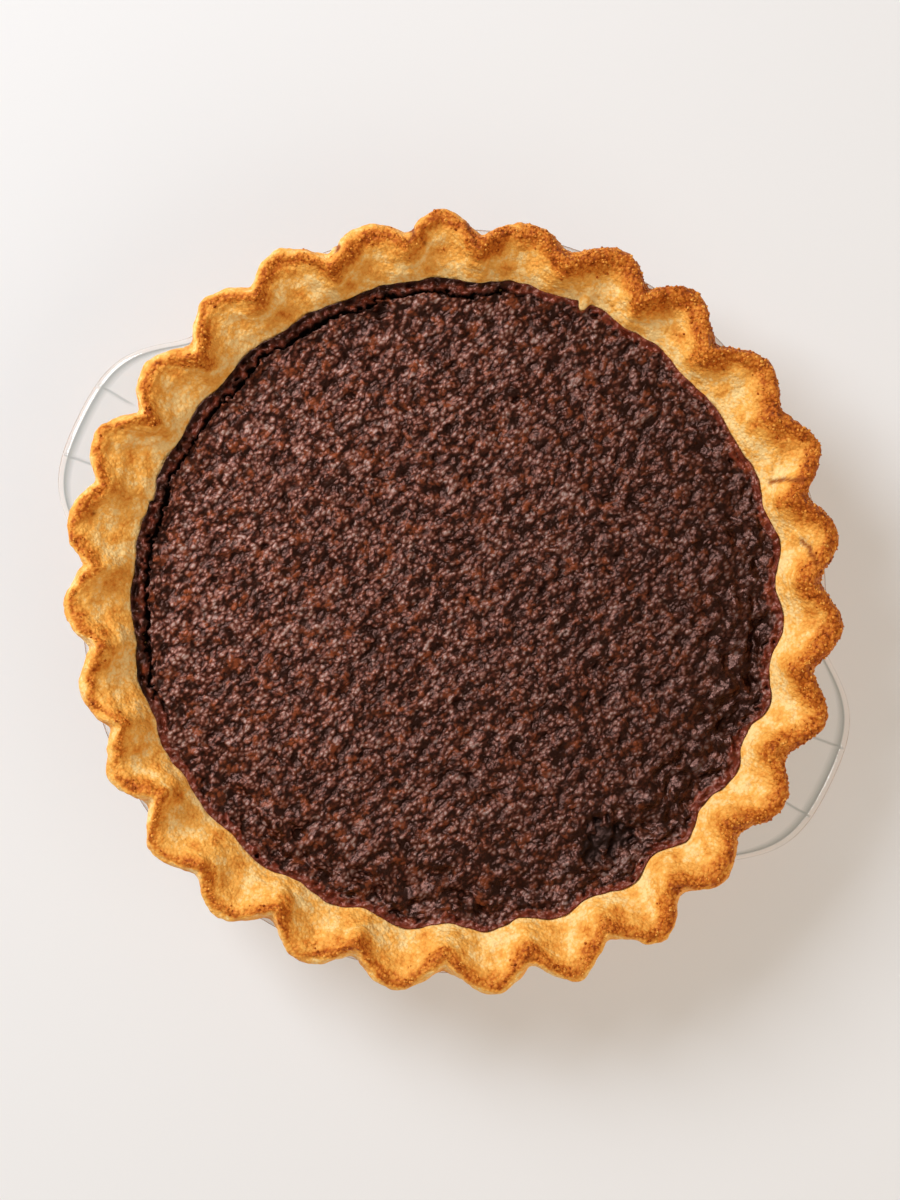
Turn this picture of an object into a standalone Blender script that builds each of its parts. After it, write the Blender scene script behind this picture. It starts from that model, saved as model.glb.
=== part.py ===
"""Chocolate chess pie in its dish: a pressed-glass pie dish with two grip handles, a hand-crimped
pastry crust lining it, and a baked chocolate filling.

Metres, +Z up. The origin is on the table under the middle of the dish, and +X runs through a handle.
Every surface here is a stack of rings round the Z axis, so each piece is one closed skin.
"""

import math
import random

import bmesh
import bpy
from mathutils import Vector, noise

# Pressed-glass dish. Foot and lip are the corners where floor, wall and rim would meet unrounded.
RIM_RADIUS = 0.125
RIM_HEIGHT = 0.040
GLASS = 0.005
FOOT_RADIUS = 0.090
LIP_RADIUS = 0.116
FOOT_ROUND = 0.009
LIP_ROUND = 0.003
EDGE_ROUND = GLASS / 2
HANDLE_REACH = 0.0157
HANDLE_HALF_ANGLE = math.radians(20)
RIB_ANGLE = math.radians(5.3)
RIB_HALF_WIDTH = math.radians(0.45)
RIB_HEIGHT = 0.0007

# Pastry. Touching faceted pieces keep a small gap.
GAP = 0.00035
PASTRY = 0.0045
FILL_HEIGHT = 0.0375
HALF_WALL_HEIGHT = 0.022
PLAIN_WALL_HEIGHT = 0.029

# The crimped edge: direction of each fold in degrees, how far it reaches, and how deep the pinch
# after it goes, from 0 for none to 1. A baker's fingers leave them uneven.
FOLDS = (
    (1, 0.1324, 0.55),
    (14, 0.1320, 0.75),
    (27, 0.1297, 1.00),
    (40, 0.1275, 1.00),
    (53, 0.1284, 1.00),
    (66, 0.1312, 0.60),
    (79, 0.1315, 1.00),
    (93, 0.1305, 0.90),
    (107, 0.1312, 0.90),
    (122, 0.1319, 0.75),
    (134, 0.1332, 0.80),
    (148, 0.1335, 0.85),
    (160, 0.1298, 0.95),
    (174, 0.1297, 1.00),
    (188, 0.1307, 1.00),
    (202, 0.1297, 1.00),
    (216, 0.1295, 0.95),
    (229, 0.1333, 0.55),
    (243, 0.1318, 1.00),
    (258, 0.1310, 0.95),
    (270, 0.1294, 1.00),
    (285, 0.1276, 1.00),
    (298, 0.1305, 0.80),
    (309, 0.1278, 0.95),
    (323, 0.1308, 0.70),
    (335, 0.1304, 1.00),
    (349, 0.1290, 0.95),
)
STEPS_PER_FOLD = 8
ANGLE_SLACK = 1e-6

# A pinch is a soft ridge on the inside of the edge and a sharp crease on its outside.
SOFT_PINCH = 2.0
SHARP_PINCH = 0.85
SHARP_LEVEL = 5

# Cross-sections of the edge as (radius, height), from the fill line up over the crest and down to the
# rim: one through the bottom of a pinch, one along the top of a fold that reaches NOMINAL_REACH.
NOMINAL_REACH = 0.1305
PINCH_SECTION = (
    (0.1076, FILL_HEIGHT),
    (0.1098, 0.0416),
    (0.1120, 0.0462),
    (0.1144, 0.0502),
    (0.1170, 0.0522),
    (0.1195, 0.0508),
    (0.1215, 0.0472),
    (0.1228, 0.0430),
    (0.1226, RIM_HEIGHT + GAP),
)
FOLD_SECTION = (
    (0.1088, FILL_HEIGHT),
    (0.1128, 0.0408),
    (0.1180, 0.0438),
    (0.1226, 0.0468),
    (0.1264, 0.0488),
    (0.1294, 0.0478),
    (NOMINAL_REACH, 0.0452),
    (0.1286, 0.0424),
    (0.1240, RIM_HEIGHT + GAP),
)
CREST = 4
CRAG = 0.0007
CRAG_GRAIN = 0.006

# The fill line strays from a true circle, in waves about two folds long. On the late side, which set
# last, it also lies further out and runs into the folds.
STRAY = 0.0014
STRAY_WAVES = 4.5
STRAY_LEVELS = 2
LATE_SIDE = math.radians(154)
LATE_DRIFT = 0.0010
LATE_BULGE = 0.0028

# Filling: a narrow ledge clings to the pastry, and the top has sunk inside it. Along part of the rim
# the ledge has torn away and left a crack.
LEDGE_WIDTH = 0.0035
TOP_SINK = 0.0019
SINK_WIDTH = 0.007
CRACK_FROM = math.radians(278)
CRACK_TO = math.radians(52)
CRACK_DEPTH = 0.0022
CRACK_HALF_WIDTH = 0.0011
SWELL = 0.0008
SWELL_SPACING = 0.024

SEED = 9
# Where the crags of the crest fall.
CRAG_SEED = 1795485033
FULL_TURN = 2 * math.pi


def clear_scene():
    for item in list(bpy.data.objects):
        bpy.data.objects.remove(item, do_unlink=True)


def mix(a, b, share):
    return a + (b - a) * share


def smooth(share):
    share = min(max(share, 0.0), 1.0)
    return share * share * (3 - 2 * share)


def make_material(name, colour, roughness, transmission=0.0):
    material = bpy.data.materials.new(name)
    material.use_nodes = True
    shader = material.node_tree.nodes["Principled BSDF"]
    shader.inputs["Base Color"].default_value = (*colour, 1)
    shader.inputs["Roughness"].default_value = roughness
    shader.inputs["Metallic"].default_value = 0
    shader.inputs["Transmission Weight"].default_value = transmission
    return material


# ---- rings and skins


def ring(directions, radius, height):
    """Points round the axis. radius and height are numbers, or functions of the direction."""
    points = []
    for direction in directions:
        r = radius(direction) if callable(radius) else radius
        z = height(direction) if callable(height) else height
        points.append((r * math.cos(direction), r * math.sin(direction), z))
    return points


def join_rings(mesh, lower, upper):
    """Faces between two rings of vertices. One may have half as many as the other.

    Every four-sided gap is split the same way, so skins that follow each other stay evenly apart.
    """
    if len(lower) < len(upper):
        join_rings(mesh, upper, lower)
        return
    count = len(lower)
    if len(upper) == count:
        for k in range(count):
            after = (k + 1) % count
            mesh.faces.new((lower[k], lower[after], upper[after]))
            mesh.faces.new((lower[k], upper[after], upper[k]))
        return
    for k in range(len(upper)):
        after = (k + 1) % len(upper)
        first, middle, last = (lower[(2 * k + step) % count] for step in range(3))
        mesh.faces.new((first, middle, upper[k]))
        mesh.faces.new((middle, upper[after], upper[k]))
        mesh.faces.new((middle, last, upper[after]))


def skin(name, rings, material):
    """One closed solid through a list of rings. Its first and last entries are single points."""
    mesh = bmesh.new()
    loops = [[mesh.verts.new(point) for point in points] for points in rings]
    for end, beside in ((loops[0], loops[1]), (loops[-1], loops[-2])):
        for k in range(len(beside)):
            mesh.faces.new((end[0], beside[k], beside[(k + 1) % len(beside)]))
    for lower, upper in zip(loops[1:-2], loops[2:-1]):
        join_rings(mesh, lower, upper)
    bmesh.ops.recalc_face_normals(mesh, faces=mesh.faces)
    data = bpy.data.meshes.new(name)
    mesh.to_mesh(data)
    mesh.free()
    data.shade_smooth()
    data.set_sharp_from_angle(angle=math.radians(50))
    item = bpy.data.objects.new(name, data)
    item.data.materials.append(material)
    bpy.context.scene.collection.objects.link(item)
    return item


# ---- the bowl shape that glass, pastry and filling share

WALL_SLOPE = math.atan2(RIM_HEIGHT - GLASS, LIP_RADIUS - FOOT_RADIUS)


def nested(point, depth):
    """A point of the glass's inner face moved to a like surface that lies depth further inside."""
    radius, height = point
    return radius - depth * math.tan(WALL_SLOPE / 2), height + depth


def rounded_corner(corner, size, turn_from, turn_to, steps):
    """Points of a fillet at a corner of the profile. Both turns are headings of travel there."""
    sweep = turn_to - turn_from
    cut = size * math.tan(abs(sweep) / 2)
    side = math.copysign(math.pi / 2, sweep)
    start = (corner[0] - cut * math.cos(turn_from), corner[1] - cut * math.sin(turn_from))
    middle = (
        start[0] + size * math.cos(turn_from + side),
        start[1] + size * math.sin(turn_from + side),
    )
    points = []
    for step in range(steps):
        heading = turn_from + sweep * step / (steps - 1) - side
        points.append((middle[0] + size * math.cos(heading), middle[1] + size * math.sin(heading)))
    return points


def foot_points(depth, steps, size=FOOT_ROUND):
    """The rounded foot of the bowl, from the floor up to the wall."""
    corner = nested((FOOT_RADIUS, GLASS), depth)
    return rounded_corner(corner, size, 0, WALL_SLOPE, steps)


def lip_points(depth, steps, size=LIP_ROUND):
    """The rounded lip of the bowl, from the wall out on to the rim."""
    corner = nested((LIP_RADIUS, RIM_HEIGHT), depth)
    return rounded_corner(corner, size, WALL_SLOPE, 0, steps)


def wall_radius(depth, height):
    """Radius of the straight wall at a height."""
    foot = nested((FOOT_RADIUS, GLASS), depth)
    return foot[0] + (height - foot[1]) / math.tan(WALL_SLOPE)


# ---- glass dish


def from_handle(direction):
    """Angle from the nearer handle's middle."""
    return (direction + math.pi / 2) % math.pi - math.pi / 2


def rim_edge(direction):
    """Radius of the rim's outer edge, with the handles."""
    share = 1 - min(abs(from_handle(direction)) / HANDLE_HALF_ANGLE, 1) ** 2
    return RIM_RADIUS + HANDLE_REACH * smooth(share)


def rib_rise(direction):
    return RIB_HEIGHT if abs(abs(from_handle(direction)) - RIB_ANGLE) < RIB_HALF_WIDTH / 2 else 0


def dish_directions():
    """Even steps round the dish, closer on the handles, with the ribs' own edges and tops."""
    turns = []
    for middle in (0, math.pi):
        side = [HANDLE_HALF_ANGLE * share for share in (1, 0.9, 0.8, 0.7, 0.58, 0.43, 0.14)]
        side += [RIB_ANGLE + RIB_HALF_WIDTH * k for k in (-1, 0, 1)]
        turns += [middle + sign * turn for turn in side for sign in (-1, 1)] + [middle]
        plain = math.pi - 2 * HANDLE_HALF_ANGLE
        steps = round(plain / math.radians(5))
        turns += [middle + HANDLE_HALF_ANGLE + plain * k / steps for k in range(1, steps)]
    return sorted(turn % FULL_TURN for turn in turns)


def make_dish():
    directions = dish_directions()
    edge_middle = RIM_HEIGHT - EDGE_ROUND
    rings = [[(0, 0, GLASS)]]
    rings += [ring(directions, *point) for point in foot_points(0, 3) + lip_points(0, 2)]

    def shelf(past_rim, short_of_edge):
        return lambda turn: min(RIM_RADIUS + past_rim, rim_edge(turn) - EDGE_ROUND - short_of_edge)

    def ribbed_height(direction):
        return RIM_HEIGHT + rib_rise(direction)

    rings.append(ring(directions, shelf(0.0005, 0.002), RIM_HEIGHT))
    rings.append(ring(directions, shelf(0.002, 0.001), ribbed_height))
    for step in range(5):
        heading = math.pi / 2 - math.pi * step / 4
        height = edge_middle + EDGE_ROUND * math.sin(heading)
        reach = EDGE_ROUND * (math.cos(heading) - 1)
        top = ribbed_height if step == 0 else height
        rings.append(ring(directions, lambda a, reach=reach: rim_edge(a) + reach, top))
    under = lip_points(-GLASS, 2, LIP_ROUND + GLASS / 2)
    under_foot = foot_points(-GLASS, 3)
    rings += [ring(directions, *point) for point in reversed(under_foot + under)]
    rings.append([(0, 0, 0)])
    glass = make_material("clear_glass", (0.86, 0.92, 0.90), 0.05, transmission=1)
    return skin("dish", rings, glass)


# ---- pastry crust


def fold_directions():
    """Directions at even steps from each fold to the next."""
    turns = []
    for k, (start, _, _) in enumerate(FOLDS):
        span = (FOLDS[(k + 1) % len(FOLDS)][0] - start) % 360
        turns += [math.radians(start + span * s / STEPS_PER_FOLD) for s in range(STEPS_PER_FOLD)]
    return turns


def fold_at(direction, level):
    """(how much of the full fold there is, how far it reaches) in a direction, at a level."""
    degrees = math.degrees(direction) % 360
    k = max((k for k in range(len(FOLDS)) if FOLDS[k][0] <= degrees + ANGLE_SLACK), default=-1)
    start, reach, pinch = FOLDS[k]
    next_start, next_reach, _ = FOLDS[(k + 1) % len(FOLDS)]
    share = ((degrees - start + ANGLE_SLACK) % 360) / ((next_start - start) % 360)
    sharpness = mix(SOFT_PINCH, SHARP_PINCH, smooth(level / SHARP_LEVEL))
    openness = abs(math.cos(math.pi * share)) ** sharpness
    return 1 - pinch * (1 - openness), mix(reach, next_reach, smooth(share))


def fill_line_shift(direction, fold):
    """How far the fill line lies outside its plain place."""
    waves = Vector((math.cos(direction), math.sin(direction), 0)) * STRAY_WAVES
    late = math.cos(direction - LATE_SIDE)
    bulge = LATE_BULGE * max(0, late) * (fold - 0.4)
    return STRAY * noise.noise(waves) + LATE_DRIFT * late + bulge


def edge_point(direction, level):
    """Point number level of the crimped edge's cross-section in a direction."""
    fold, reach = fold_at(direction, level)
    pinch_radius, pinch_height = PINCH_SECTION[level]
    fold_radius, fold_height = FOLD_SECTION[level]
    last = len(FOLD_SECTION) - 1
    fold_radius += (reach - NOMINAL_REACH) * math.sin(math.pi * level / last)
    shift = fill_line_shift(direction, fold) * smooth(1 - level / STRAY_LEVELS)
    return mix(pinch_radius, fold_radius, fold) + shift, mix(pinch_height, fold_height, fold)


def edge_ring(directions, level):
    """One ring of the crimped edge, craggy near its crest."""
    points = []
    rough = CRAG * max(0, 1 - abs(level - CREST) / 3)
    for direction in directions:
        radius, height = edge_point(direction, level)
        place = Vector((radius * math.cos(direction), radius * math.sin(direction), height))
        crag = noise.noise_vector(place / CRAG_GRAIN) * rough
        points.append(tuple(place + crag))
    return points


def make_crust(directions):
    half = directions[::2]
    inner, outer = GAP + PASTRY, GAP
    floor_rings = [ring(half, *point) for point in foot_points(inner, 3)]
    rings = [[(0, 0, nested((0, GLASS), inner)[1])]] + floor_rings
    rings.append(ring(directions, wall_radius(inner, PLAIN_WALL_HEIGHT), PLAIN_WALL_HEIGHT))
    rings += [edge_ring(directions, level) for level in range(len(FOLD_SECTION))]
    rings += [ring(directions, *point) for point in reversed(lip_points(outer, 2))]
    rings += [ring(half, *point) for point in reversed(foot_points(outer, 3))]
    rings.append([(0, 0, nested((0, GLASS), outer)[1])])
    pastry = make_material("baked_pastry", (0.66, 0.36, 0.12), 0.6)
    return skin("crust", rings, pastry)


# ---- chocolate filling


def fill_edge(direction):
    """Radius at which the filling meets the pastry."""
    return edge_point(direction, 0)[0] - GAP


def in_crack(direction):
    """1 where the ledge has torn away, falling to 0 past the crack's ends."""
    span = (CRACK_TO - CRACK_FROM) % FULL_TURN
    along = (direction - CRACK_FROM) % FULL_TURN
    if along > span:
        return 0
    return smooth(min(along, span - along) / math.radians(12))


def top_height(direction, inset):
    """Height of the baked top, at a distance in from its edge."""
    radius = fill_edge(direction) - inset
    place = Vector((radius * math.cos(direction), radius * math.sin(direction), 0))
    swell = SWELL * noise.noise(place / SWELL_SPACING) * smooth(inset / SINK_WIDTH)
    sink = TOP_SINK * smooth((inset - LEDGE_WIDTH) / SINK_WIDTH)
    return FILL_HEIGHT + 0.0004 + swell - sink


def make_filling(directions):
    half, quarter, eighth = directions[::2], directions[::4], directions[::8]
    depth = 2 * GAP + PASTRY
    drawn = random.Random(SEED)
    rings = [[(0, 0, nested((0, GLASS), depth)[1])]]
    rings += [ring(quarter, *point) for point in foot_points(depth, 3)]
    rings.append(ring(half, wall_radius(depth, HALF_WALL_HEIGHT), HALF_WALL_HEIGHT))
    rings.append(ring(directions, wall_radius(depth, PLAIN_WALL_HEIGHT), PLAIN_WALL_HEIGHT))
    rings.append(ring(directions, fill_edge, FILL_HEIGHT))
    wander = {turn: drawn.uniform(-0.0006, 0.0006) for turn in directions}

    def top_ring(turns, inset, dip=0.0, wandering=0):
        def stray(turn):
            return inset + wander[turn] * wandering

        return ring(
            turns,
            lambda turn: fill_edge(turn) - stray(turn),
            lambda turn: top_height(turn, stray(turn)) - dip * in_crack(turn),
        )

    crack = LEDGE_WIDTH + CRACK_HALF_WIDTH
    rings.append(top_ring(directions, 0.0010))
    rings.append(top_ring(directions, crack - CRACK_HALF_WIDTH, wandering=1))
    rings.append(top_ring(directions, crack, CRACK_DEPTH, 1))
    rings.append(top_ring(directions, crack + CRACK_HALF_WIDTH, wandering=1))
    rings.append(top_ring(half, 0.011))
    rings.append(top_ring(half, 0.020))
    rings.append(top_ring(quarter, 0.034))
    rings.append(top_ring(quarter, 0.050))
    rings.append(top_ring(eighth, 0.068))
    rings.append(top_ring(eighth, 0.088))
    rings.append([(0, 0, top_height(0, fill_edge(0)))])
    chocolate = make_material("baked_chocolate", (0.10, 0.035, 0.022), 0.45)
    return skin("filling", rings, chocolate)


clear_scene()
noise.seed_set(CRAG_SEED)
make_dish()
crust_directions = fold_directions()
make_crust(crust_directions)
make_filling(crust_directions)
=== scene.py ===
"""A chocolate chess pie in its pressed-glass dish, dressed for rendering.

Metres, +Z up. The dish stands on the table at z = 0, and +X runs through one of its two grips.
"""

import math

import bmesh
import bpy
import numpy as np
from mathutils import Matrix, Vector, noise


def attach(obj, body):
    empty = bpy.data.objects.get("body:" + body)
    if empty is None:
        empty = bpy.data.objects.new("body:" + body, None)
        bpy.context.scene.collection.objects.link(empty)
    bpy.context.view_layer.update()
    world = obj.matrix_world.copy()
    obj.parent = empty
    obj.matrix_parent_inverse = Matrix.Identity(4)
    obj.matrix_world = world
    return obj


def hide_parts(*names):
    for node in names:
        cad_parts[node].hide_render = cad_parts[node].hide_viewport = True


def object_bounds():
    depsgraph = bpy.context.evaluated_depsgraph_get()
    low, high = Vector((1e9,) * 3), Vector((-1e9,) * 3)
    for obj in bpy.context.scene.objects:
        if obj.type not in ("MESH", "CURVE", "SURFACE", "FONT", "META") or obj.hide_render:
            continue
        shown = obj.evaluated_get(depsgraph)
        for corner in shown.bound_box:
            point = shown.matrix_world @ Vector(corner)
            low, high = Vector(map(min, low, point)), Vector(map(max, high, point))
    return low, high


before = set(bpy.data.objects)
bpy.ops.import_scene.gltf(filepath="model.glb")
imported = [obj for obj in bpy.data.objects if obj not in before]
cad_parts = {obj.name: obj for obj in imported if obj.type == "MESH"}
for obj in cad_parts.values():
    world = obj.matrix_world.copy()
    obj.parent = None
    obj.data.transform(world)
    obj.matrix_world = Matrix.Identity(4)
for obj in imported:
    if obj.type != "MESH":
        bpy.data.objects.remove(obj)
cad_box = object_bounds()


# ---- Floor, light and camera
# The dish stands on a plain matt white sweep in a room with pale walls and a dim ceiling. One big
# window is to the side of the +X grip, and a broad white card opposite softens the shadows. The
# camera hangs straight above, turned so that this grip is up and to the left.
VIEW_TURN = math.radians(-154)
VIEW_HEIGHT = 0.840
# How much of the rim's plane the view takes in from top to bottom, and how far the camera is slid
# across and up in it.
RIM_LEVEL = 0.040
VIEW_TALL = 0.402
SLIDE = (-0.00134, 0.00034)
SENSOR = 36.0
WINDOW_AZIMUTH = math.radians(-13)
# How bright the room is at each height: (sine of the rise over the horizon, brightness).
ROOM_TONES = ((0.0, 0.52), (0.10, 0.60), (0.34, 0.52), (0.5, 0.34), (0.78, 0.24), (1.0, 0.09))
SWEEP_REACH = 12.0
SWEEP_DROP = 0.0002


def linear(hex_colour):
    """An sRGB hex colour as linear red, green, blue and alpha."""
    parts = [int(hex_colour[k : k + 2], 16) / 255 for k in (1, 3, 5)]
    return (*[c / 12.92 if c <= 0.04045 else ((c + 0.055) / 1.055) ** 2.4 for c in parts], 1)


def add(tree, kind, settings=None, inputs=None):
    """A new node, with its properties set and its inputs given a value or joined to an output."""
    made = tree.nodes.new(kind)
    for name, value in (settings or {}).items():
        setattr(made, name, value)
    for name, value in (inputs or {}).items():
        if isinstance(value, bpy.types.NodeSocket):
            tree.links.new(value, made.inputs[name])
        else:
            made.inputs[name].default_value = value
    return made


def set_ramp(ramp, stops):
    """Give a colour ramp its stops, each a position from 0 to 1 and a linear colour."""
    while len(ramp.elements) > 1:
        ramp.elements.remove(ramp.elements[-1])
    for k, (position, colour) in enumerate(stops):
        stop = ramp.elements.new(position) if k else ramp.elements[0]
        stop.position, stop.color = position, colour


def new_material(name, settings):
    """A material with its shader's own sockets set. Gives it, its node tree and its shader."""
    made = bpy.data.materials.new(name)
    made.use_nodes = True
    shader = made.node_tree.nodes["Principled BSDF"]
    for socket, value in settings.items():
        shader.inputs[socket].default_value = value
    return made, made.node_tree, shader


def in_scene(name, data):
    """A new object, linked to the scene and unmoved."""
    item = bpy.data.objects.new(name, data)
    bpy.context.scene.collection.objects.link(item)
    return item


def soft_box(name, azimuth, rise, distance, size, watts, colour):
    """A square studio light that looks at the pie from a direction."""
    data = bpy.data.lights.new(name, "AREA")
    data.shape = "SQUARE"
    data.size = size
    data.energy = watts
    data.color = linear(colour)[:3]
    box = in_scene(name, data)
    flat = distance * math.cos(rise)
    place = Vector((flat * math.cos(azimuth), flat * math.sin(azimuth), distance * math.sin(rise)))
    box.location = place
    box.rotation_euler = (Vector((0, 0, RIM_LEVEL)) - place).to_track_quat("-Z", "Y").to_euler()
    return box


room = bpy.data.worlds.new("pale_room")
bpy.context.scene.world = room
room.use_nodes = True
looking = add(room.node_tree, "ShaderNodeTexCoord").outputs["Generated"]
above = add(room.node_tree, "ShaderNodeSeparateXYZ", None, {0: looking})
tones = add(room.node_tree, "ShaderNodeValToRGB", None, {0: above.outputs[2]})
set_ramp(tones.color_ramp, [(rise, (tone, tone, tone, 1)) for rise, tone in ROOM_TONES])
room.node_tree.links.new(tones.outputs[0], room.node_tree.nodes["Background"].inputs["Strength"])
room.node_tree.nodes["Background"].inputs["Color"].default_value = linear("#fff4e8")
soft_box(
    "window",
    azimuth=WINDOW_AZIMUTH,
    rise=math.radians(40),
    distance=1.7,
    size=0.8,
    watts=34.0,
    colour="#f4f8ff",
)
card = soft_box(
    "white_card",
    azimuth=WINDOW_AZIMUTH + math.pi,
    rise=math.radians(30),
    distance=2.0,
    size=1.8,
    watts=17.5,
    colour="#fff0df",
)
# The card only fills the shadows and isn't seen in the skin of the chocolate.
card.visible_glossy = False

# Matt painted board, with hardly any gloss, so that it shows only the pie's soft shadow. It is lit
# from behind a little, as a light table is, so that the shadow stays pale.
sweep_paint, _, _ = new_material(
    "matt_white_board",
    {
        "Base Color": linear("#babdc0"),
        "Roughness": 0.9,
        "Specular IOR Level": 0.1,
        "Emission Color": linear("#fff0df"),
        "Emission Strength": 0.33,
    },
)
sweep_mesh = bpy.data.meshes.new("sweep")
sweep_corners = ((-1, -1), (1, -1), (1, 1), (-1, 1))
sweep_mesh.from_pydata(
    [(x * SWEEP_REACH, y * SWEEP_REACH, -SWEEP_DROP) for x, y in sweep_corners],
    [],
    [(0, 1, 2, 3)],
)
sweep_mesh.materials.append(sweep_paint)
sweep = in_scene("sweep", sweep_mesh)

camera_data = bpy.data.cameras.new("overhead")
camera_data.sensor_fit = "VERTICAL"
camera_data.sensor_height = SENSOR
camera_data.lens = SENSOR * (VIEW_HEIGHT - RIM_LEVEL) / VIEW_TALL
camera = in_scene("overhead", camera_data)
across = Vector((math.cos(VIEW_TURN), math.sin(VIEW_TURN), 0))
upward = Vector((-math.sin(VIEW_TURN), math.cos(VIEW_TURN), 0))
camera.location = across * SLIDE[0] + upward * SLIDE[1] + Vector((0, 0, VIEW_HEIGHT))
camera.rotation_euler = (0, 0, VIEW_TURN)
bpy.context.scene.camera = camera
bpy.context.scene.view_settings.view_transform = "Standard"


# ---- Glass dish
# A pie plate of clear soda-lime glass, pressed in a mould and fire-polished. The flat rim widens
# into a grip on two sides, and each grip has two thin pressed ribs.
RIM_RADIUS = 0.125
RIM_HEIGHT = 0.040
GLASS = 0.005
FOOT_RADIUS = 0.090
LIP_RADIUS = 0.116
FOOT_ROUND = 0.009
LIP_ROUND = 0.003
EDGE_ROUND = GLASS / 2
LINE_WIDTH = 0.0006
WALL_SLOPE = math.atan2(RIM_HEIGHT - GLASS, LIP_RADIUS - FOOT_RADIUS)
CORNER_STEPS = 9
FLAT_STEPS = 8
EDGE_STEPS = 16
UNDER_STEPS = 5
# The grips reach out past the rim, and their ribs fade in there. The steps round the dish are
# bunched on the grips, where the outline turns most.
DISH_SIZES = {
    "Steps Around": 480,
    "Bunching": 0.75,
    "Handle Reach": 0.0157,
    "Handle Half Angle": math.radians(20),
    "Stretch From": 0.1190,
    "Stretch To": 0.12234,
    "Rib Angle": math.radians(5.3),
    "Rib Half Width": math.radians(0.30),
    "Rib Height": 0.0010,
    "Rib Start": 0.1245,
    "Rib Fade": 0.002,
    "Top": RIM_HEIGHT,
    "Top Depth": 0.0012,
    "Edge Starts": RIM_RADIUS - EDGE_ROUND,
    "Edge Ends": RIM_RADIUS,
    "Line Width": LINE_WIDTH,
    "Weld Distance": 0.00001,
}


def nested(point, depth):
    """A point of the glass's inner face moved to a like surface that lies depth further inside."""
    radius, height = point
    return radius - depth * math.tan(WALL_SLOPE / 2), height + depth


def rounded_corner(at, size, turn_from, turn_to, steps):
    """Points of a fillet at a corner of the profile. Both turns are headings of travel there."""
    sweep_angle = turn_to - turn_from
    cut = size * math.tan(abs(sweep_angle) / 2)
    side = math.copysign(math.pi / 2, sweep_angle)
    start = (at[0] - cut * math.cos(turn_from), at[1] - cut * math.sin(turn_from))
    middle = (
        start[0] + size * math.cos(turn_from + side),
        start[1] + size * math.sin(turn_from + side),
    )
    points = []
    for step in range(steps):
        heading = turn_from + sweep_angle * step / (steps - 1) - side
        points.append((middle[0] + size * math.cos(heading), middle[1] + size * math.sin(heading)))
    return points


def bowl_profile(depth, steps, lip_round=LIP_ROUND):
    """The bowl's section from the foot's fillet up the wall and round the lip, at a depth."""
    foot_at, lip_at = nested((FOOT_RADIUS, GLASS), depth), nested((LIP_RADIUS, RIM_HEIGHT), depth)
    foot = rounded_corner(foot_at, FOOT_ROUND, 0, WALL_SLOPE, steps)
    lip = rounded_corner(lip_at, lip_round, WALL_SLOPE, 0, steps)
    wall = []
    for step in range(1, steps):
        share = step / steps
        wall.append(tuple(a + (b - a) * share for a, b in zip(foot[-1], lip[0])))
    return foot + wall + lip


def dish_profile():
    """The section of the whole dish from the middle of its floor round to the middle of its foot."""
    inner = bowl_profile(0, CORNER_STEPS)
    outer = bowl_profile(-GLASS, CORNER_STEPS, LIP_ROUND + GLASS / 2)
    points = [(0, GLASS), (inner[0][0] / 2, GLASS)] + inner
    flat_from, flat_to = inner[-1][0], RIM_RADIUS - EDGE_ROUND
    for step in range(1, FLAT_STEPS):
        points.append((flat_from + (flat_to - flat_from) * step / FLAT_STEPS, RIM_HEIGHT))
    points.append((flat_to - LINE_WIDTH / 4, RIM_HEIGHT))
    for step in range(EDGE_STEPS + 1):
        heading = math.pi / 2 - math.pi * step / EDGE_STEPS
        reach = flat_to + EDGE_ROUND * math.cos(heading)
        points.append((reach, RIM_HEIGHT - EDGE_ROUND + EDGE_ROUND * math.sin(heading)))
    under_from, under_height = outer[-1][0], RIM_HEIGHT - GLASS
    for step in range(1, UNDER_STEPS):
        points.append((flat_to + (under_from - flat_to) * step / UNDER_STEPS, under_height))
    return points + outer[::-1] + [(outer[0][0] / 2, 0), (0, 0)]


def new_tree(name, takes, sizes, finish, gives):
    """A Geometry Nodes tree with named inputs. Gives the tree and its input sockets."""
    tree = bpy.data.node_groups.new(name, "GeometryNodeTree")
    tree.is_modifier = True
    sockets = [(takes, "INPUT", "NodeSocketGeometry")]
    for size, value in sizes.items():
        kind = "NodeSocketInt" if isinstance(value, int) else "NodeSocketFloat"
        sockets.append((size, "INPUT", kind))
    sockets.append((finish, "INPUT", "NodeSocketMaterial"))
    sockets.append((gives, "OUTPUT", "NodeSocketGeometry"))
    for socket, way, kind in sockets:
        tree.interface.new_socket(socket, in_out=way, socket_type=kind)
    return tree, tree.nodes.new("NodeGroupInput").outputs


def end_tree(tree, shape, finish):
    """Make a tree's instances real, give its shape a material and hand it out."""
    real = add(tree, "GeometryNodeRealizeInstances", None, {"Geometry": shape})
    coated = add(
        tree, "GeometryNodeSetMaterial", None, {"Geometry": real.outputs[0], "Material": finish}
    )
    add(tree, "NodeGroupOutput", None, {0: coated.outputs[0]})


def run_tree(tree, piece, wanted):
    """Run a tree on a piece with its inputs set, and keep the result as the piece's plain mesh."""
    maker = piece.modifiers.new(tree.name, "NODES")
    maker.node_group = tree
    for socket in tree.interface.items_tree:
        if socket.in_out == "INPUT" and socket.name in wanted:
            maker[socket.identifier] = wanted[socket.name]
    made = piece.evaluated_get(bpy.context.evaluated_depsgraph_get())
    plain = bpy.data.meshes.new_from_object(made)
    piece.modifiers.clear()
    piece.data = plain
    plain.shade_smooth()


def face_outwards(mesh):
    work = bmesh.new()
    work.from_mesh(mesh)
    bmesh.ops.recalc_face_normals(work, faces=work.faces)
    work.to_mesh(mesh)
    work.free()
    mesh.shade_smooth()


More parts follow.
